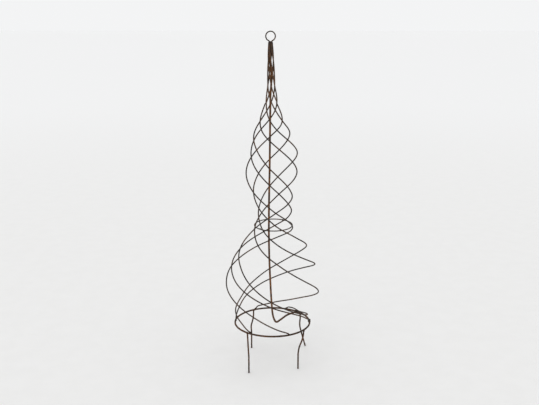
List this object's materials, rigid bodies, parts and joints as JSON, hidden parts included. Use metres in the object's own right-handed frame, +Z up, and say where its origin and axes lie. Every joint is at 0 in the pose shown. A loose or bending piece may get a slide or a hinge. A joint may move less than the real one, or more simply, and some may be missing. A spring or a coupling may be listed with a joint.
{
  "type": "garden obelisk",
  "caption": "Tall rusted-iron plant support: hand-bent rods spiral round a centre rod, through a middle ring, down onto a base ring on stake legs, with a round eye on top.",
  "frame": {"origin": "ground level under the middle of the obelisk, between the four stake tips", "axes": "+Z up to the top eye, -Y the front that the picture shows, +X to the right of that view"},
  "size_m": [0.4835, 0.4725, 1.701],
  "materials": {
    "spiral_iron": "dark, dry, lightly rusted",
    "rusted_iron": "rust brown, matt, pitted",
    "weld": "black weld scale"
  },
  "bodies": {
    "root": {"finial_eye": "spiral_iron", "neck_weld": "weld", "centre_rod": "rusted_iron", "spiral_rod_a": "spiral_iron", "spiral_rod_b": "spiral_iron", "spiral_rod_c": "spiral_iron", "spiral_rod_d": "spiral_iron", "spiral_rod_e": "spiral_iron", "spiral_rod_f": "spiral_iron", "mid_ring": "spiral_iron", "mid_ring_welds": "weld", "base_ring": "rusted_iron", "base_ring_welds": "weld", "base_ring_joint": "weld", "rod_foot_weld": "weld", "leg_front_left": "rusted_iron", "leg_front_right": "rusted_iron", "leg_back_left": "rusted_iron", "leg_back_right": "rusted_iron", "leg_welds": "weld"}
  },
  "joints": []
}
